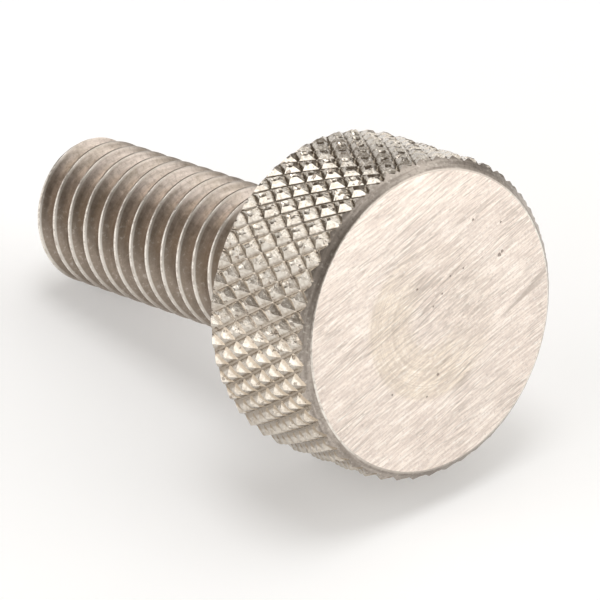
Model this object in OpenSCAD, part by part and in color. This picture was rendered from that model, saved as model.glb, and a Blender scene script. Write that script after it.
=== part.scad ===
// Knurled thumb screw: a round head with a diamond knurl, turned in one piece
// with its threaded shank. The screw is drawn along its own axis, with its face
// at 0 and its tip at the far end, and is then laid on its side as it comes to
// rest: on the back edge of the head and on the last full turn of the thread.

/* [Head] */
// Diameter over the points of the knurl
head_d = 13; // [9:0.5:24]
// Height from the face to the bearing face
head_h = 6; // [3:0.5:14]
// Chamfer at the rim of the face
face_chamfer = 0.5; // [0.2:0.1:1]
// Chamfer at the rim of the bearing face
bearing_chamfer = 0.5; // [0.2:0.1:1]

/* [Knurl] */
// Grooves of each hand round the head
knurl_count = 48; // [24:2:64]
// Angle between the grooves and the axis, in degrees
knurl_angle = 31.5; // [20:0.5:45]
// Depth of the grooves
knurl_depth = 0.24; // [0.1:0.02:0.4]

/* [Thread] */
// Major diameter
thread_d = 6; // [4:0.5:8]
// Distance from one turn to the next
thread_pitch = 1; // [0.5:0.05:1.5]
// Length from the bearing face to the tip
thread_l = 16; // [8:1:30]
// Plain length under the head
neck_l = 0.3; // [0.2:0.1:3]
// Chamfer at the tip
tip_chamfer = 0.8; // [0.3:0.1:1.2]
// Flat sides that stand for one turn of the helix
turn_steps = 36; // [24:6:48]

/* [Hidden] */
$fn = 96;

head_r = head_d / 2;
thread_r = thread_d / 2;
screw_l = head_h + thread_l;

// ISO metric profile: a 60 degree thread with a crest an eighth of the pitch wide.
flank_angle = 30;
crest_w = thread_pitch / 8;
groove_depth = 0.6134 * thread_pitch;
groove_w = thread_pitch - crest_w;
root_w = groove_w - 2 * groove_depth * tan(flank_angle);

// The thread tool comes in beyond the tip and lifts out over the last half turn.
lift_turns = 0.5;
tool_over = 0.05 * thread_pitch;
helix_start = head_h + neck_l + groove_w / 2;
helix_turns = (screw_l - helix_start) / thread_pitch + 1;
helix_steps = ceil(helix_turns * turn_steps);

// The knurl's peaks and the crossings of its grooves lie on rings this far apart,
// and the last ring that the bearing chamfer leaves whole lies just inside its edge.
knurl_columns = 2 * knurl_count;
knurl_ring_gap = PI * head_d / knurl_columns / tan(knurl_angle);
knurl_inset = 0.1;
last_ring = head_h - bearing_chamfer - knurl_inset;
rings_before = ceil(last_ring / knurl_ring_gap) + 1;
rings_after = ceil((head_h - last_ring) / knurl_ring_gap) + 1;
knurl_rings = rings_before + rings_after + 1;
blank_over = 0.2;

// Lying on its side, the screw rests on two peaks of the last ring and on the last
// crest that passes underneath, a whole number of turns from the start.
heel_r = head_r * cos(180 / knurl_count);
tip_edge = screw_l - tip_chamfer;
tip_r = thread_r - tip_chamfer;
whole_turns = floor((tip_edge - crest_w / 2 - helix_start) / thread_pitch);
last_crest = helix_start + whole_turns * thread_pitch + crest_w / 2;
rest_tilt = atan((heel_r - thread_r) / (last_crest - last_ring));
rest_height = last_ring * sin(rest_tilt) + heel_r * cos(rest_tilt);
face_reach = (head_r - face_chamfer) * sin(rest_tilt);
tip_reach = screw_l * cos(rest_tilt) + tip_r * sin(rest_tilt);

// Puts a screw drawn along +Z, face at 0, on the ground plane with its tip
// towards -X and the middle of its length over the origin.
module laid_on_side() {
    translate([(tip_reach - face_reach) / 2, 0, rest_height])
        rotate([0, -90 - rest_tilt, 0])
            children();
}

// Head before knurling. The two chamfers run on outwards just past the knurl.
module head_blank() {
    rotate_extrude()
        polygon([
            [0, 0],
            [head_r - face_chamfer, 0],
            [head_r + blank_over, face_chamfer + blank_over],
            [head_r + blank_over, head_h - bearing_chamfer - blank_over],
            [head_r - bearing_chamfer, head_h],
            [0, head_h]
        ]);
}

// Peaks and crossings take turns along a ring and from ring to ring, with a
// crossing at the first column of the last ring.
function is_peak(ring, column) = (ring + rings_before + column) % 2 == 1;

function knurl_point(ring, column) =
    let (
        r = is_peak(ring, column) ? head_r : head_r - knurl_depth,
        a = 360 * column / knurl_columns
    )
    [r * cos(a), r * sin(a), last_ring + (ring - rings_before) * knurl_ring_gap];

// Each cell between two rings and two columns is split along the groove's floor.
function knurl_cell(ring, column) =
    let (
        next = (column + 1) % knurl_columns,
        a = ring * knurl_columns + column,
        b = ring * knurl_columns + next,
        c = a + knurl_columns,
        d = b + knurl_columns
    )
    is_peak(ring, column) ? [[a, c, b], [b, c, d]] : [[a, c, d], [a, d, b]];

// Diamond knurl as a solid bar of pyramids, longer than the head.
module knurled_bar() {
    rings = [0:knurl_rings - 1];
    columns = [0:knurl_columns - 1];
    points = [for (ring = rings, column = columns) knurl_point(ring, column)];
    sides = [
        for (ring = [0:knurl_rings - 2], column = columns)
            each knurl_cell(ring, column)
    ];
    first_end = [for (column = columns) column];
    last_end = [for (column = columns) len(points) - 1 - column];
    polyhedron(points, concat(sides, [first_end, last_end]));
}

module head() {
    color("gainsboro")
        intersection() {
            head_blank();
            knurled_bar();
        }
}

// Shank before threading, with its foot inside the head.
module shank_blank() {
    foot = head_h / 2;
    rotate_extrude()
        polygon([
            [0, foot],
            [thread_r, foot],
            [thread_r, tip_edge],
            [tip_r, screw_l],
            [0, screw_l]
        ]);
}

// Cross-section of the thread tool at one step of the helix: the groove's
// floor, its two flanks, and an outer side just clear of the crests.
function tool_section(step) =
    let (
        turn = step / turn_steps,
        lift = groove_depth * max(0, 1 - turn / lift_turns),
        floor_r = thread_r - groove_depth + lift,
        outer_r = thread_r + tool_over + lift,
        outer_w = root_w + 2 * (outer_r - floor_r) * tan(flank_angle),
        z = helix_start + turn * thread_pitch
    )
    [
        for (p = [[floor_r, -root_w], [outer_r, -outer_w], [outer_r, outer_w], [floor_r, root_w]])
            [p.x * cos(360 * turn), p.x * sin(360 * turn), z + p.y / 2]
    ];

// Right-hand helix that the thread tool sweeps out of the shank.
module thread_groove() {
    points = [for (step = [0:helix_steps]) each tool_section(step)];
    corners = len(tool_section(0));
    sides = [
        for (step = [0:helix_steps - 1], corner = [0:corners - 1])
            let (
                a = step * corners + corner,
                b = step * corners + (corner + 1) % corners
            )
            each [[a, b, b + corners], [a, b + corners, a + corners]]
    ];
    first_end = [for (corner = [corners - 1:-1:0]) corner];
    last_end = [for (corner = [0:corners - 1]) helix_steps * corners + corner];
    polyhedron(points, concat(sides, [first_end, last_end]));
}

module shank() {
    color("silver")
        difference() {
            shank_blank();
            thread_groove();
        }
}

module thumb_screw() {
    laid_on_side() {
        head();
        shank();
    }
}

thumb_screw();
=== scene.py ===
import math
import bpy
import numpy as np
from mathutils import Matrix, Vector


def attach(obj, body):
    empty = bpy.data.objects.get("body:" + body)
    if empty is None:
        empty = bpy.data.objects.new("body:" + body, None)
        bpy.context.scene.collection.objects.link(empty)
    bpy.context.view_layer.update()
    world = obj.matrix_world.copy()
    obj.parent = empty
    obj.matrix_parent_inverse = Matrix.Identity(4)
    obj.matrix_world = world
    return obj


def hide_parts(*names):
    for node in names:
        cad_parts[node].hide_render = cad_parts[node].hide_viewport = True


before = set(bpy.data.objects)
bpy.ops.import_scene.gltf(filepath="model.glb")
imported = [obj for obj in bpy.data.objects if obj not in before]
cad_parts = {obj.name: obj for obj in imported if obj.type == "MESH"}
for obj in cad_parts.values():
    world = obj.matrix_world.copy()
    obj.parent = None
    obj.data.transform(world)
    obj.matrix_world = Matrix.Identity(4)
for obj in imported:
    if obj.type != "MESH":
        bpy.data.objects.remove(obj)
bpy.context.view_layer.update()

# ---------------------------------------------------------------------------
# Thumb screw. One piece of bright steel: a round head with a diamond knurl
# and a brushed face, on a threaded shank. It is turned from bar; the knurl is
# rolled in, the thread is cut, and the screw lies on its side.
# ---------------------------------------------------------------------------
HEAD_R, HEAD_H, CHAMFER = 6.5, 6.0, 0.5              # all sizes are in millimetres
THREAD_R, PITCH, SCREW_L, TIP_CHAMFER, NECK = 3.0, 1.0, 22.0, 0.8, 0.3
FACE_R, BACK_EDGE = HEAD_R - CHAMFER, HEAD_H - CHAMFER
TIP_R, TIP_EDGE = THREAD_R - TIP_CHAMFER, SCREW_L - TIP_CHAMFER

# The thread is a 60 degree vee with a crest an eighth of the pitch wide.
CREST = PITCH / 8
THREAD_DEPTH = 0.6134 * PITCH
FLANK_SLOPE = math.tan(math.radians(30))
HALF_FLOOR = (PITCH - CREST) / 2 - THREAD_DEPTH * FLANK_SLOPE
HELIX_START = HEAD_H + NECK + (PITCH - CREST) / 2

# It rests on two teeth of the knurl near the back edge and on the last crest
# that passes underneath.
TEETH, HEEL_INSET, WHOLE_TURNS = 48, 0.1, 14
heel, toe = BACK_EDGE - HEEL_INSET, HELIX_START + WHOLE_TURNS * PITCH + CREST / 2
heel_r = HEAD_R * math.cos(math.pi / TEETH)
tilt = math.atan((heel_r - THREAD_R) / (toe - heel))
face_reach = FACE_R * math.sin(tilt)
tip_reach = SCREW_L * math.cos(tilt) + TIP_R * math.sin(tilt)
face_centre = np.array([(tip_reach - face_reach) / 2, 0,
                        heel * math.sin(tilt) + heel_r * math.cos(tilt)])
to_tip = np.array([-math.cos(tilt), 0, -math.sin(tilt)])
to_top = np.array([-math.sin(tilt), 0, math.cos(tilt)])
to_side = np.array([0, 1.0, 0])


def on_screw(angle, s, r):
    """Point at an angle in degrees round the axis from the top, at s from the face, at radius r: the centre
    of the face + s along the axis + r times (cos angle towards the top + sin angle towards the side)."""
    a = np.radians(angle)[..., None]
    return face_centre + s[..., None] * to_tip + r[..., None] * (np.cos(a) * to_top + np.sin(a) * to_side)


# Knurl: two hands of vee grooves that cross, the first with narrow flat floors.
# They were rolled less deep on one side of the head, where the teeth stay blunt.
TOOTH_R = HEAD_R - 0.014                             # a little in, as the points differ in height
GROOVE_DEPTH, DEPTH_CHANGE, DEEPEST_AT = 0.20, 0.25, -130    # the change is a share, the place in degrees
POINT_HEIGHT, FLOOR = 0.26, 1 / 9                    # height of a whole tooth, floor's share of a groove
RING_GAP, LAST_RING = 0.6912, 5.67                   # rings on which the grooves cross
FIRST_CROSSING, LEAN = 5.95, 0.255                   # degrees, and degrees a millimetre
TOOTH = 360 / TEETH
SHARP_TO, BLUNT_FROM, BLUNT_AT = 0.8, 1.5, 1.3       # s near the face, and point height over depth
DISH_R, DISH_FLOOR_R, DISH_OFF_CENTRE = 0.26, 0.13, 0.08     # in grooves
DISH_DEPTH, DISH_CHANCE = 0.15, 0.60                 # shares of the grooves' depth
HEIGHT_CHANCE, MOST_LIFT = 0.035, 0.5                # share of the depth, and the most of it upwards
ROWS_OF_CHANCE = 40
HAIR = 1e-9                                          # what lies between two teeth counts to the second
rng = np.random.default_rng(7)
hollow = rng.uniform(0.0, 1.0, (ROWS_OF_CHANCE, TEETH))
shift = rng.uniform(-1.0, 1.0, (2, ROWS_OF_CHANCE, TEETH))
lift = rng.normal(0.0, 1.0, (ROWS_OF_CHANCE, TEETH))


def ramp(value, low, high):
    """Straight rise from 0 where the value is low to 1 where it is high, and level beyond them."""
    return np.clip((value - low) / (high - low), 0, 1)


def knurl_turn(s):
    """Degrees by which the whole pattern is turned at s from the face."""
    return FIRST_CROSSING + LEAN * (s - LAST_RING)


def knurl_cuts(angle, s):
    """Place across a groove of each hand, in grooves: the angle in the turned pattern plus and minus half a
    tooth for each ring gap along the axis, over a tooth."""
    step = (s - LAST_RING) / RING_GAP * TOOTH / 2
    around = angle - knurl_turn(s)
    return (around + step) / TOOTH, (around - step) / TOOTH


def knurl_radius(angle, s):
    """Radius of the knurled side. A groove of either hand rises evenly from its floor to the middle of a
    tooth, and the lower of the two heights stands, with the first hand's floor running on through. Where the
    grooves are too shallow for whole points, each tooth ends in a blunt top with a dish in its middle."""
    a, b = knurl_cuts(angle, s)
    tooth_a, tooth_b = np.floor(a + HAIR), np.floor(b + HAIR)
    across_a, across_b = a - tooth_a - 0.5, b - tooth_b - 0.5
    rise_a, rise_b = ((1 - np.abs(2 * c) - FLOOR) / (1 - FLOOR) for c in (across_a, across_b))
    rise = np.where(rise_a < 0.01, 0, np.minimum(rise_a, rise_b))
    depth = GROOVE_DEPTH * (1 + DEPTH_CHANGE * np.cos(np.radians(angle - DEEPEST_AT)))
    chance = (tooth_a - tooth_b).astype(int) % ROWS_OF_CHANCE, tooth_a.astype(int) % TEETH
    aside_a, aside_b = (DISH_OFF_CENTRE * part[chance] for part in shift)
    off = np.hypot(across_a - aside_a, across_b - aside_b)
    blunt = ramp(POINT_HEIGHT / depth, 1, BLUNT_AT) * ramp(s, SHARP_TO, BLUNT_FROM)
    top = 1 - blunt * (DISH_DEPTH + DISH_CHANCE * hollow[chance]) * ramp(off, DISH_R, DISH_FLOOR_R)
    top = top + HEIGHT_CHANCE * np.minimum(lift[chance], MOST_LIFT)
    return TOOTH_R - depth + np.minimum(POINT_HEIGHT * rise, depth * top)


class Skin:
    """Rings of vertices that are sewn into one closed skin of triangles."""
    def __init__(self):
        self.points, self.faces, self.finish, self.count = [], [], [], 0

    def add(self, angle, s, r):
        """Adds an array of vertices and returns their numbers, in the same shape."""
        angle, s, r = np.broadcast_arrays(angle, s, r)
        self.points.append(on_screw(angle.ravel(), s.ravel(), r.ravel()))
        self.count += angle.size
        return np.arange(self.count - angle.size, self.count).reshape(angle.shape)

    def sew(self, triangles, finish):
        """Adds triangles, leaving out those with a side of no length."""
        t = np.asarray(triangles).reshape(-1, 3)
        kept = (t[:, 0] != t[:, 1]) & (t[:, 1] != t[:, 2]) & (t[:, 2] != t[:, 0])
        self.faces.append(t[kept])
        self.finish.append(np.broadcast_to(finish, (len(t),))[kept])

    def band(self, rings, finish, forward=False):
        """Joins each ring to the next, two triangles to a cell, split on the diagonal that forward says."""
        here, beyond = rings[:-1], rings[1:]
        here_next, beyond_next = np.roll(here, -1, 1), np.roll(beyond, -1, 1)
        along = np.stack([here, here_next, beyond_next, here, beyond_next, beyond], -1)
        across = np.stack([here, here_next, beyond, here_next, beyond_next, beyond], -1)
        split = np.broadcast_to(forward, here.shape)[..., None]
        self.sew(np.where(split, along, across), finish)


FACE, TURNED, KNURL, BACK, FLANK, CRESTS = range(6)
COLUMNS_A_TOOTH = 18
COLUMNS = TEETH * COLUMNS_A_TOOTH
turn = np.arange(COLUMNS) * 360 / COLUMNS
screw = Skin()


def head_ring(s, r):
    """Ring of the head at s and radius r, each a number or one value a column, turned with the knurl."""
    return screw.add(turn + knurl_turn(s), s, r)


def meet_knurl(s, cone):
    """Where a chamfer and the knurl have the same radius in each column: the mean of s and the place at which
    the cone has the knurl's radius, found over and over until it stands still."""
    for _ in range(40):
        s = (s + cone(knurl_radius(turn + knurl_turn(s), s))) / 2
    return s


# Face, its broken edge, and the front chamfer, which meets the knurl in a
# scalloped line.
EDGE = 0.045                                         # width of a broken edge
BROKEN = ((0.0, -EDGE), (0.2 * EDGE, -0.15 * EDGE), (0.7 * EDGE, 0.7 * EDGE))    # in from the flat, outwards
middle = screw.add(np.array([0.0]), 0.0, 0.0)[0]
inner = head_ring(0.0, FACE_R / 2)
rim_rings = [head_ring(inwards, FACE_R + outwards) for inwards, outwards in BROKEN]
screw.sew(np.stack([np.full(COLUMNS, middle), np.roll(inner, -1), inner], -1), FACE)
screw.band(np.stack([inner, rim_rings[0]]), FACE)
scallop = meet_knurl(np.full(COLUMNS, 0.4), lambda r: r - FACE_R)
chamfer_start = BROKEN[2][0]
chamfer_s = [chamfer_start + (scallop - chamfer_start) * share for share in (0.5, 1.0)]
chamfer_rings = [head_ring(s, FACE_R + s) for s in chamfer_s]
screw.band(np.stack(rim_rings), CRESTS)
screw.band(np.stack(rim_rings[2:] + chamfer_rings), TURNED)

# Knurled side, from the scallops to the line where it meets the back chamfer:
# rings spaced so that the grooves run along the cells' diagonals, with a fine grain.
FIRST_ROW, LAST_ROW, GRAIN = 0.56, BACK_EDGE - 0.03, 0.0010
lip = meet_knurl(np.full(COLUMNS, BACK_EDGE + 0.1), lambda r: HEAD_R + BACK_EDGE - r)
spacing = RING_GAP * 2 / COLUMNS_A_TOOTH
regular = LAST_RING - spacing * np.arange(70, 0, -1)         # more than the side has room for
regular = regular[(regular > FIRST_ROW) & (regular < LAST_ROW)]
side_s = np.stack([scallop + (regular[0] - scallop) * share for share in (0, 1 / 3, 2 / 3)]
                  + [np.full(COLUMNS, s) for s in regular]
                  + [regular[-1] + (lip - regular[-1]) * share for share in (1 / 2, 1)])
side_angle = turn + knurl_turn(side_s)
grain = rng.normal(0, 1, side_s.shape)
grain = (grain + np.roll(grain, 1, 1) + np.roll(grain, 1, 0)) / 3
side_r = knurl_radius(side_angle, side_s) + GRAIN * grain
side_r[-1] = HEAD_R + BACK_EDGE - lip
knurl_rings = np.vstack([chamfer_rings[-1][None], screw.add(side_angle[1:], side_s[1:], side_r[1:])])
cell_angle = (side_angle[1:] + side_angle[:-1]) / 2 + 180 / COLUMNS
cell_a, cell_b = knurl_cuts(cell_angle, (side_s[1:] + side_s[:-1]) / 2)
near_a, near_b = (1 - np.abs(2 * (c % 1) - 1) for c in (cell_a, cell_b))
screw.band(knurl_rings, KNURL, forward=near_b < near_a)

# Back chamfer with its broken edge, and the outer part of the bearing face.
back_rings = [head_ring(HEAD_H - inwards, FACE_R + outwards) for inwards, outwards in BROKEN[::-1]]
bearing_ring = head_ring(HEAD_H, 1.5 * THREAD_R)
screw.band(np.stack([knurl_rings[-1]] + back_rings + [bearing_ring]), BACK)

# Shank: mesh rows follow the helix, so the last column of a row meets the first
# column of the row one pitch further on. A turn has nine rows: the middle of the
# crest, then on each side of it the crest's edges, a flank and the floor's edge.
SLACK, CROWN = 0.004, 0.02                           # how far a side stays in, and a crest is rounded off
AROUND = COLUMNS // 6
RUN_OUT = 0.5                                        # turns over which the tool comes out
FIRST_TURN, LAST_TURN = -2, 16                       # from before the neck to past the tip
half_land = CREST / PITCH / 2
side_phases = np.array([HALF_FLOOR / PITCH, 0.24, 0.5 - half_land, 0.5 - half_land * 0.6])
phases = np.concatenate([[-0.5], -side_phases[::-1], side_phases])
turns = (np.arange(FIRST_TURN, LAST_TURN + 1)[:, None] + phases).ravel()
angle = np.arange(AROUND) * 360 / AROUND
shank_s = HELIX_START + PITCH * (turns[:, None] + angle / 360)
groove_turn = np.floor(turns + 0.5)[:, None]
from_floor = np.abs(turns[:, None] - groove_turn) * PITCH
depth = THREAD_DEPTH * ramp(groove_turn + angle / 360, 0, RUN_OUT)
cut = THREAD_R - depth + np.maximum(from_floor - HALF_FLOOR, 0) / FLANK_SLOPE
crown = THREAD_R - SLACK - CROWN * ramp(from_floor / PITCH, 0.5 - half_land * 0.5, 0.5 - half_land) ** 2
shank_r = np.minimum(np.minimum(cut, crown), THREAD_R + TIP_EDGE - shank_s)

# What lies before the neck or past the tip, or very near them, is gathered into
# one ring there, and the triangles of no width are left out.
NEAR_END = 0.02
before, past = shank_s <= HEAD_H + NEAR_END, shank_s >= SCREW_L - NEAR_END
neck_ring = screw.add(angle + knurl_turn(HEAD_H), HEAD_H, THREAD_R - SLACK)
tip_ring = screw.add(angle, SCREW_L, TIP_R - SLACK)
number = np.where(before, neck_ring[None], tip_ring[None])
free = ~(before | past)
number[free] = screw.add(np.broadcast_to(angle, shank_s.shape)[free], shank_s[free], shank_r[free])
here, beyond = number[:-1], number[1:]
here_next, beyond_next = np.roll(here, -1, 1), np.roll(beyond, -1, 1)
row = np.arange(len(number))
pitch_on = np.minimum(row + len(phases), len(number) - 1)
here_next[:, -1], beyond_next[:, -1] = number[pitch_on[:-1], 0], number[pitch_on[1:], 0]
whole = (row + len(phases) < len(number))[:-1]
row_middle = (turns[:-1] + turns[1:]) / 2
on_crest = np.abs(row_middle - np.floor(row_middle + 0.5)) > 0.5 - half_land
finish = np.repeat(np.where(on_crest, CRESTS, FLANK)[whole], 2 * AROUND)
screw.sew(np.stack([here, here_next, beyond_next, here, beyond_next, beyond], -1)[whole], finish)

# Flat end of the tip, with a ring a little inside its rim.
tip_inner = screw.add(angle, SCREW_L, TIP_R - 0.25)
screw.band(np.stack([tip_ring, tip_inner]), BACK)
tip_middle = screw.add(np.array([0.0]), SCREW_L, 0.0)[0]
screw.sew(np.stack([tip_inner, np.roll(tip_inner, -1), np.full(AROUND, tip_middle)], -1), BACK)

# Inner part of the bearing face: six edges of its outer ring go to each edge of
# the neck's ring.
outer = np.column_stack([bearing_ring.reshape(AROUND, 6), np.roll(bearing_ring[::6], -1)])
ahead = np.roll(neck_ring, -1)
pivots = np.column_stack([neck_ring] * 3 + [ahead] * 3)
screw.sew(np.stack([outer[:, :-1], outer[:, 1:], pivots], -1), BACK)
screw.sew(np.stack([neck_ring, outer[:, 3], ahead], -1), BACK)

points = np.concatenate(screw.points)
points[:, 2] = np.maximum(points[:, 2], 0.002)       # a little flat where it touches the table
faces = np.concatenate(screw.faces)
mesh = bpy.data.meshes.new("thumb_screw_steel")
mesh.vertices.add(len(points))
mesh.vertices.foreach_set("co", (points / 1000).astype(np.float32).ravel())
mesh.loops.add(faces.size)
mesh.loops.foreach_set("vertex_index", faces.astype(np.int32).ravel())
mesh.polygons.add(len(faces))
mesh.polygons.foreach_set("loop_start", np.arange(0, faces.size, 3, dtype=np.int32))
mesh.polygons.foreach_set("loop_total", np.full(len(faces), 3, np.int32))
mesh.polygons.foreach_set("material_index", np.concatenate(screw.finish).astype(np.int32))
mesh.polygons.foreach_set("use_smooth", np.ones(len(faces), bool))
mesh.update(calc_edges=True)
mesh.set_sharp_from_angle(angle=math.radians(24))
piece = bpy.data.objects.new("thumb_screw_steel", mesh)
bpy.context.scene.collection.objects.link(piece)


def new_node(tree, kind, inputs=None, **settings):
    """Adds a node of the given kind, with its settings, and links or sets each named input."""
    node = tree.nodes.new("ShaderNode" + kind)
    for key, value in settings.items():
        setattr(node, key, value)
    for key, value in (inputs or {}).items():
        if isinstance(value, bpy.types.NodeSocket):
            tree.links.new(value, node.inputs[key])
        else:
            node.inputs[key].default_value = value
    return node


def math_node(tree, operation, a, b=0.0, c=0.0):
    """Result of one sum on two or three values."""
    return new_node(tree, "Math", {0: a, 1: b, 2: c}, operation=operation).outputs[0]


def vector_node(tree, operation, a, b=(0, 0, 0), result="Vector"):
    """Result of one sum on two vectors."""
    return new_node(tree, "VectorMath", {0: a, 1: b}, operation=operation).outputs[result]


def spread(tree, value, low, high, to_low=0.0, to_high=1.0):
    """Value mapped smoothly from one range to another."""
    inputs = {"Value": value, "From Min": low, "From Max": high, "To Min": to_low, "To Max": to_high}
    return new_node(tree, "MapRange", inputs, interpolation_type="SMOOTHSTEP").outputs["Result"]


def noise(tree, place, scale, detail=3.0, rough=0.6):
    """Noise on a place in millimetres, with so many waves a millimetre."""
    inputs = {"Vector": place, "Scale": scale, "Detail": detail, "Roughness": rough}
    return new_node(tree, "TexNoise", inputs).outputs["Fac"]


def blend_colours(tree, factor, first, second):
    """Colour between two, each a socket or red, green and blue, by a factor."""
    inputs = {"Factor": factor}
    for key, value in (("A", first), ("B", second)):
        inputs[key] = value if isinstance(value, bpy.types.NodeSocket) else (*value, 1)
    return new_node(tree, "Mix", inputs, data_type="RGBA").outputs["Result"]


def bump(tree, height, distance, strength=1.0, normal=None):
    """Normal of a height in units of the distance, in millimetres, over an earlier normal."""
    inputs = {"Height": height, "Distance": distance / 1000, "Strength": strength}
    if normal is not None:
        inputs["Normal"] = normal
    return new_node(tree, "Bump", inputs).outputs["Normal"]


def steel(name):
    """Bare steel, with the place on it in millimetres: x to the top, y to the side, z from the face."""
    material = bpy.data.materials.new(name)
    material.use_nodes = True
    tree = material.node_tree
    shader = tree.nodes["Principled BSDF"]
    shader.inputs["Metallic"].default_value = 1.0
    place = new_node(tree, "TexCoord").outputs["Object"]
    inputs = {"Vector": place, "Scale": (1000, 1000, 1000), "Rotation": (0, math.pi / 2 + tilt, 0),
              "Location": (-float(to_top @ face_centre), 0, -float(to_tip @ face_centre))}
    place = new_node(tree, "Mapping", inputs, vector_type="POINT").outputs["Vector"]
    mesh.materials.append(material)
    return tree, shader, place


def polar(tree, place):
    """Radius, distance along the axis, and the place with its radius made one, for marks that run round."""
    parts = new_node(tree, "SeparateXYZ", {"Vector": place})
    flat = new_node(tree, "CombineXYZ", {"X": parts.outputs["X"], "Y": parts.outputs["Y"]}).outputs[0]
    radius = vector_node(tree, "LENGTH", flat, result="Value")
    unit = vector_node(tree, "NORMALIZE", flat)
    return radius, parts.outputs["Z"], unit


def towards(tree, unit, angle):
    """Cosine of the angle round the axis between the place and an angle in degrees from the top."""
    a = math.radians(angle)
    return vector_node(tree, "DOT_PRODUCT", unit, (math.cos(a), math.sin(a), 0), "Value")


def to_the_sides(tree, unit):
    """Nothing at the top and underneath, and one at the two sides of the screw as it lies."""
    return math_node(tree, "ABSOLUTE", towards(tree, unit, -75))


def round_marks(tree, radius, distance, unit, across, around, detail=3.0, rough=0.6):
    """Noise drawn out round the axis, at a place from polar, with so many waves a millimetre across and a
    radian around."""
    profile = new_node(tree, "CombineXYZ", {"X": radius, "Z": distance}).outputs[0]
    lines = vector_node(tree, "MULTIPLY", profile, (across, across, across))
    turned = vector_node(tree, "MULTIPLY", unit, (around, around, 0))
    return noise(tree, vector_node(tree, "ADD", lines, turned), 1.0, detail, rough)


# Brushed face: long straight scratches of several widths over faint turning
# rings, with a rougher middle, a yellow tarnish on the rings, and a few pits.
tree, shader, place = steel("brushed_face")
RINGS_FROM, RINGS_TO = 0.7, 3.3                      # radii between which the turning rings show
DASHES_AT, DASHES_OVER = (0.3, 1.1, 0), 2.0          # middle and radius of the patch of dashes
PITS = ((1.37, 3.78, 0.10), (1.47, 3.94, 0.08), (-2.22, -0.07, 0.08), (3.25, 2.74, 0.07),    # x, y, radius
        (2.65, 4.07, 0.06), (1.53, -0.45, 0.06), (0.89, 0.72, 0.055), (0.55, 0.20, 0.05),
        (-2.17, -2.41, 0.06), (-2.90, -0.76, 0.05), (1.51, 1.92, 0.055), (1.44, 1.24, 0.05))


def strokes(tree, place, angle, lengthwise, crosswise, detail=3.0, rough=0.6):
    """Noise drawn out along scratches at an angle in degrees, with so many waves a millimetre each way."""
    turned = new_node(tree, "Mapping", {"Vector": place, "Rotation": (0, 0, math.radians(angle))})
    drawn_out = vector_node(tree, "MULTIPLY", turned.outputs["Vector"], (lengthwise, crosswise, 1))
    return noise(tree, drawn_out, 1.0, detail, rough)


def thin_lines(tree, value, width):
    """One where the value is a half, falling to nothing a width away, which draws lines on its contours."""
    off = math_node(tree, "ABSOLUTE", math_node(tree, "SUBTRACT", value, 0.5))
    return spread(tree, off, width, 0.0)


fine = strokes(tree, place, -76.7, 0.8, 9.0, 3, 0.75)
broad = strokes(tree, place, -74.0, 0.30, 3.2, 4, 0.7)
specks = noise(tree, place, 8.0, rough=0.75)
cloud = noise(tree, place, 0.35)
long_lines = thin_lines(tree, strokes(tree, place, -71.0, 0.12, 3.2, 1, 0.5), 0.035)
where_long = spread(tree, strokes(tree, place, -71.0, 0.12, 0.5, 1, 0.5), 0.42, 0.62)
long_lines = math_node(tree, "MULTIPLY", long_lines, where_long)
short_lines = thin_lines(tree, strokes(tree, place, -78.0, 0.4, 5.5, 1, 0.5), 0.05)
where_short = spread(tree, noise(tree, place, 0.5, detail=1), 0.4, 0.6)
short_lines = math_node(tree, "MULTIPLY", short_lines, where_short)
from_middle = vector_node(tree, "DISTANCE", place, DASHES_AT, "Value")
dashes = spread(tree, strokes(tree, place, -70.0, 1.5, 5.0, 3, 0.7), 0.56, 0.40)
dashes = math_node(tree, "MULTIPLY", dashes, spread(tree, from_middle, DASHES_OVER, 0.4 * DASHES_OVER))
radius, _, unit = polar(tree, place)
rings = noise(tree, new_node(tree, "CombineXYZ", {"X": radius}).outputs[0], 5.5, rough=0.7)
dark_rings = spread(tree, rings, 0.58, 0.40, 0.0, 0.26)
on_rings = math_node(tree, "MULTIPLY", spread(tree, radius, RINGS_TO, RINGS_TO - 0.4),
                     spread(tree, radius, RINGS_FROM, RINGS_FROM + 0.8))
tarnished_side = spread(tree, towards(tree, unit, -123.5), -0.7, 0.5, 0.15, 1.0)
on_rings = math_node(tree, "MULTIPLY", on_rings, tarnished_side)
pits = None
for x, y, size in PITS:
    gap = vector_node(tree, "DISTANCE", place, (x, y, 0), "Value")
    pit = spread(tree, gap, size, size * 0.4)
    pits = pit if pits is None else math_node(tree, "MAXIMUM", pits, pit)
colour = blend_colours(tree, spread(tree, cloud, 0.35, 0.65), (0.96, 0.85, 0.76), (0.99, 0.89, 0.80))
for amount, tint in (
        (math_node(tree, "MULTIPLY", on_rings, 0.7), (0.98, 0.865, 0.71)),
        (spread(tree, broad, 0.62, 0.34, 0.0, 0.30), (0.62, 0.52, 0.47)),
        (spread(tree, fine, 0.60, 0.36, 0.0, 0.55), (0.56, 0.47, 0.42)),
        (spread(tree, fine, 0.52, 0.70, 0.0, 0.85), (1.0, 0.955, 0.89)),
        (spread(tree, specks, 0.46, 0.30, 0.0, 0.6), (0.52, 0.44, 0.40)),
        (spread(tree, specks, 0.54, 0.70, 0.0, 0.6), (1.0, 0.97, 0.92)),
        (math_node(tree, "MULTIPLY", long_lines, 0.55), (0.36, 0.30, 0.26)),
        (math_node(tree, "MULTIPLY", short_lines, 0.4), (0.36, 0.30, 0.26)),
        (math_node(tree, "MULTIPLY", dashes, 0.35), (0.36, 0.30, 0.26)),
        (math_node(tree, "MULTIPLY", on_rings, dark_rings), (0.42, 0.34, 0.27)),
        (math_node(tree, "MULTIPLY", pits, 0.7), (0.22, 0.17, 0.14))):
    colour = blend_colours(tree, amount, colour, tint)
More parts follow.
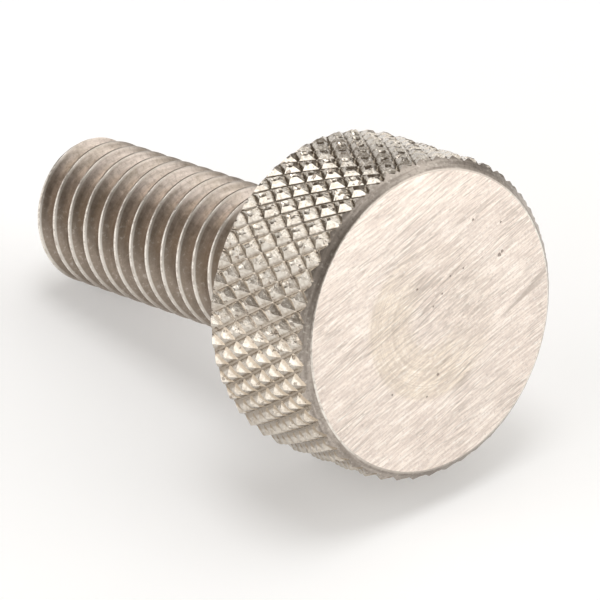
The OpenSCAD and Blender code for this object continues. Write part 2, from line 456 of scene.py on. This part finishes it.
tree.links.new(colour, shader.inputs["Base Color"])
tree.links.new(spread(tree, fine, 0.3, 0.7, 0.30, 0.40), shader.inputs["Roughness"])
height = math_node(tree, "MULTIPLY_ADD", fine, 0.6, math_node(tree, "MULTIPLY", broad, 0.4))
normal = bump(tree, height, 0.01, 0.5)
normal = bump(tree, math_node(tree, "MULTIPLY", rings, on_rings), 0.008, 0.35, normal)
normal = bump(tree, math_node(tree, "MULTIPLY", pits, -1.0), 0.04, 1.0, normal)
tree.links.new(normal, shader.inputs["Normal"])

# Turned chamfer: dull and grainy, with fine streaks round it left by the tool.
tree, shader, place = steel("turned_chamfer")
radius, distance, unit = polar(tree, place)
streaks = round_marks(tree, radius, distance, unit, 6.0, 3.0)
grain = noise(tree, place, 7.0, rough=0.7)
colour = blend_colours(tree, spread(tree, streaks, 0.35, 0.65), (0.31, 0.27, 0.235), (0.49, 0.435, 0.385))
colour = blend_colours(tree, spread(tree, grain, 0.50, 0.32, 0.0, 0.6), colour, (0.20, 0.175, 0.155))
colour = blend_colours(tree, spread(tree, grain, 0.56, 0.72, 0.0, 0.7), colour, (0.78, 0.73, 0.67))
tree.links.new(colour, shader.inputs["Base Color"])
shader.inputs["Roughness"].default_value = 0.38
height = math_node(tree, "MULTIPLY_ADD", grain, 0.5, streaks)
tree.links.new(bump(tree, height, 0.02, 0.5), shader.inputs["Normal"])

# Rolled knurl: bright facets with a fine grain and small dark bruises, painted
# shade in the groove floors, and more painted shade low down on one side.
tree, shader, place = steel("rolled_knurl")
radius, _, unit = polar(tree, place)
GROOVE_SHADE_TO, LOW_SHADE_TO = 6.33, 6.35                       # radii up to which the grooves get painted shade
torn = noise(tree, place, 6.0, 4, 0.65)
bruises = noise(tree, place, 3.2, detail=2)
low_down = towards(tree, unit, -125)
# painted shade low down on one side, stronger in the grooves
painted_low_shade = math_node(tree, "MULTIPLY", spread(tree, low_down, 0.6, 0.95),
                 spread(tree, radius, LOW_SHADE_TO, LOW_SHADE_TO - 0.05, 0.25, 0.8))
colour = blend_colours(tree, spread(tree, torn, 0.35, 0.6), (0.55, 0.49, 0.42), (0.75, 0.70, 0.63))
for amount, tint in (
        # painted shade in the groove floors
        (spread(tree, radius, GROOVE_SHADE_TO, GROOVE_SHADE_TO - 0.06, 0.0, 0.5), (0.34, 0.27, 0.20)),
        (spread(tree, bruises, 0.64, 0.70, 0.0, 0.8), (0.26, 0.21, 0.17)),
        # painted shade low down on one side
        (painted_low_shade, (0.32, 0.26, 0.195))):
    colour = blend_colours(tree, amount, colour, tint)
tree.links.new(colour, shader.inputs["Base Color"])
tree.links.new(spread(tree, torn, 0.35, 0.65, 0.14, 0.22), shader.inputs["Roughness"])
normal = bump(tree, torn, 0.014)
tree.links.new(bump(tree, spread(tree, bruises, 0.70, 0.62), 0.03, 0.6, normal), shader.inputs["Normal"])

# Back of the head and the tip: plainly turned.
tree, shader, place = steel("plain_back")
radius, distance, _ = polar(tree, place)
ring_marks = noise(tree, new_node(tree, "CombineXYZ", {"X": radius, "Z": distance}).outputs[0], 8.0, 4, 0.7)
colour = blend_colours(tree, spread(tree, ring_marks, 0.35, 0.65), (0.52, 0.465, 0.41), (0.63, 0.575, 0.52))
tree.links.new(colour, shader.inputs["Base Color"])
shader.inputs["Roughness"].default_value = 0.32
tree.links.new(bump(tree, ring_marks, 0.01, 0.5), shader.inputs["Normal"])

# Cut thread: flecked and stained flanks with fine marks that run round, with painted
# shade low down on one side and a painted highlight next to the crests at the sides.
tree, shader, place = steel("cut_flank")
radius, distance, unit = polar(tree, place)
HIGHLIGHT_FROM = 2.89                                   # radius from which the flanks get a painted highlight
tool_marks = round_marks(tree, radius, distance, unit, 7.0, 1.5, 4, 0.7)
stain = noise(tree, place, 0.9, detail=4)
flecks = noise(tree, place, 5.0, rough=0.7)
# painted highlight on the flanks next to the crests, at the sides
painted_crest_highlight = math_node(tree, "MULTIPLY", spread(tree, radius, HIGHLIGHT_FROM, HIGHLIGHT_FROM + 0.05),
                   spread(tree, to_the_sides(tree, unit), 0.40, 0.85, 0.2, 0.85))
colour = blend_colours(tree, spread(tree, tool_marks, 0.3, 0.7), (0.46, 0.395, 0.345), (0.68, 0.59, 0.525))
for amount, tint in (
        (spread(tree, stain, 0.42, 0.62, 0.0, 0.35), (0.40, 0.335, 0.255)),
        # painted shade low down on one side
        (spread(tree, towards(tree, unit, -105), 0.2, 0.8, 0.0, 0.7), (0.25, 0.20, 0.155)),
        (spread(tree, flecks, 0.52, 0.34, 0.0, 0.42), (0.25, 0.205, 0.165)),
        (spread(tree, flecks, 0.54, 0.72, 0.0, 0.45), (0.72, 0.65, 0.58)),
        # painted highlight next to the crests at the sides
        (painted_crest_highlight, (0.80, 0.75, 0.69))):
    colour = blend_colours(tree, amount, colour, tint)
tree.links.new(colour, shader.inputs["Base Color"])
shader.inputs["Roughness"].default_value = 0.34
height = math_node(tree, "MULTIPLY_ADD", flecks, 0.6, math_node(tree, "MULTIPLY", tool_marks, 0.5))
tree.links.new(bump(tree, height, 0.02, 0.8), shader.inputs["Normal"])

# Crests of the thread: bright with small nicks, and painted shade at the top and underneath.
tree, shader, place = steel("crest_with_painted_shade")
_, _, unit = polar(tree, place)
nicks = noise(tree, place, 3.5, rough=0.7)
colour = blend_colours(tree, spread(tree, nicks, 0.36, 0.56), (0.60, 0.54, 0.48), (0.88, 0.83, 0.76))
# painted shade: the crests darker at the top and underneath
painted_crest_shade = spread(tree, to_the_sides(tree, unit), 0.85, 0.40, 0.0, 0.75)
colour = blend_colours(tree, painted_crest_shade, colour, (0.42, 0.365, 0.32))
tree.links.new(colour, shader.inputs["Base Color"])
shader.inputs["Roughness"].default_value = 0.34
tree.links.new(bump(tree, nicks, 0.03, 0.5), shader.inputs["Normal"])

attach(piece, "root")
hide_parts("thumb_screw")

# ---------------------------------------------------------------------------
# Table and studio. A plain white table under one soft lamp overhead, in a dim
# room with broad bright panels round the screw for its steel to reflect.
# ---------------------------------------------------------------------------
TABLE_WIDTH = 4.0                                    # this section is in metres
bpy.ops.mesh.primitive_plane_add(size=TABLE_WIDTH, location=(0, 0, 0))
table = bpy.context.object
table.name = "table"
material = bpy.data.materials.new("white_table")
material.use_nodes = True
tree = material.node_tree
shader = tree.nodes["Principled BSDF"]
shader.inputs["Base Color"].default_value = (0.76, 0.76, 0.76, 1)
shader.inputs["Roughness"].default_value = 0.9
shader.inputs["Specular IOR Level"].default_value = 0.0
shader.inputs["Emission Color"].default_value = (1, 1, 1, 1)
rays = new_node(tree, "LightPath").outputs
seen = math_node(tree, "MAXIMUM", rays["Is Camera Ray"],
                 math_node(tree, "MAXIMUM", rays["Is Glossy Ray"], rays["Is Transmission Ray"]))
tree.links.new(math_node(tree, "MULTIPLY", seen, 0.26), shader.inputs["Emission Strength"])
table.data.materials.append(material)


def way(azimuth, elevation):
    """Unit vector at an azimuth clockwise from +Y and an elevation, in degrees."""
    a, e = math.radians(azimuth), math.radians(elevation)
    return Vector((math.sin(a) * math.cos(e), math.cos(a) * math.cos(e), math.sin(e)))


# Each panel: azimuth and elevation, the angles from its middle at which it is
# at its full strength and has faded out, and that strength.
PANELS = ((46, 6, 20, 44, 1.60), (-14, 54, 14, 38, 1.40), (-170, 18, 18, 42, 1.50), (150, 8, 10, 34, 0.60),
          (-128, 22, 8, 34, 0.75), (-150, 46, 4, 20, 0.55), (-85, 64, 6, 22, 0.60), (54, 40, 6, 28, 0.65))
ROOM_LEVEL = 0.12
world = bpy.data.worlds.new("studio")
bpy.context.scene.world = world
world.use_nodes = True
tree = world.node_tree
sight = new_node(tree, "TexCoord").outputs["Generated"]
level = ROOM_LEVEL
for azimuth, elevation, near, far, strength in PANELS:
    facing = vector_node(tree, "DOT_PRODUCT", sight, way(azimuth, elevation), "Value")
    panel = spread(tree, facing, math.cos(math.radians(far)), math.cos(math.radians(near)), 0, strength)
    level = math_node(tree, "ADD", level, panel)
tint = blend_colours(tree, spread(tree, level, ROOM_LEVEL, 0.50), (1.0, 0.82, 0.66), (1.0, 0.985, 0.96))
room = new_node(tree, "Background", {"Color": tint, "Strength": level}).outputs[0]
tree.links.new(room, tree.nodes["World Output"].inputs["Surface"])

# Overhead lamp: a square soft box that looks straight at the screw.
LAMP_WAY, LAMP_DISTANCE, LAMP_WIDTH, LAMP_POWER = way(0, 88), 1.2, 0.5, 3.6
light = bpy.data.lights.new("overhead", "AREA")
light.shape = "SQUARE"
light.size, light.energy = LAMP_WIDTH, LAMP_POWER
lamp = bpy.data.objects.new("overhead", light)
lamp.location = LAMP_WAY * LAMP_DISTANCE
lamp.rotation_euler = (-LAMP_WAY).to_track_quat("-Z", "Y").to_euler()
bpy.context.scene.collection.objects.link(lamp)

# ---------------------------------------------------------------------------
# Camera: a long lens that looks down on the face of the head.
# ---------------------------------------------------------------------------
CAMERA_AZIMUTH, CAMERA_ELEVATION, CAMERA_DISTANCE = 130.72, 32.82, 265.8     # degrees and millimetres
AIM_HEIGHT, AIM_RIGHT, AIM_DOWN = 6.0, 1.66, 2.13
ahead = -way(CAMERA_AZIMUTH, CAMERA_ELEVATION)
right = Vector((ahead.y, -ahead.x, 0)).normalized()
above = right.cross(ahead)
target = Vector((0, 0, AIM_HEIGHT)) + right * AIM_RIGHT - above * AIM_DOWN
place = (target - ahead * CAMERA_DISTANCE) / 1000
camera = bpy.data.objects.new("camera", bpy.data.cameras.new("camera"))
camera.matrix_world = Matrix(((right.x, above.x, -ahead.x, place.x), (right.y, above.y, -ahead.y, place.y),
                              (right.z, above.z, -ahead.z, place.z), (0, 0, 0, 1)))
camera.data.sensor_width = 36
camera.data.lens = 402.4
camera.data.clip_start = 0.01
bpy.context.scene.collection.objects.link(camera)
bpy.context.scene.camera = camera

bpy.context.scene.view_settings.view_transform = "Standard"
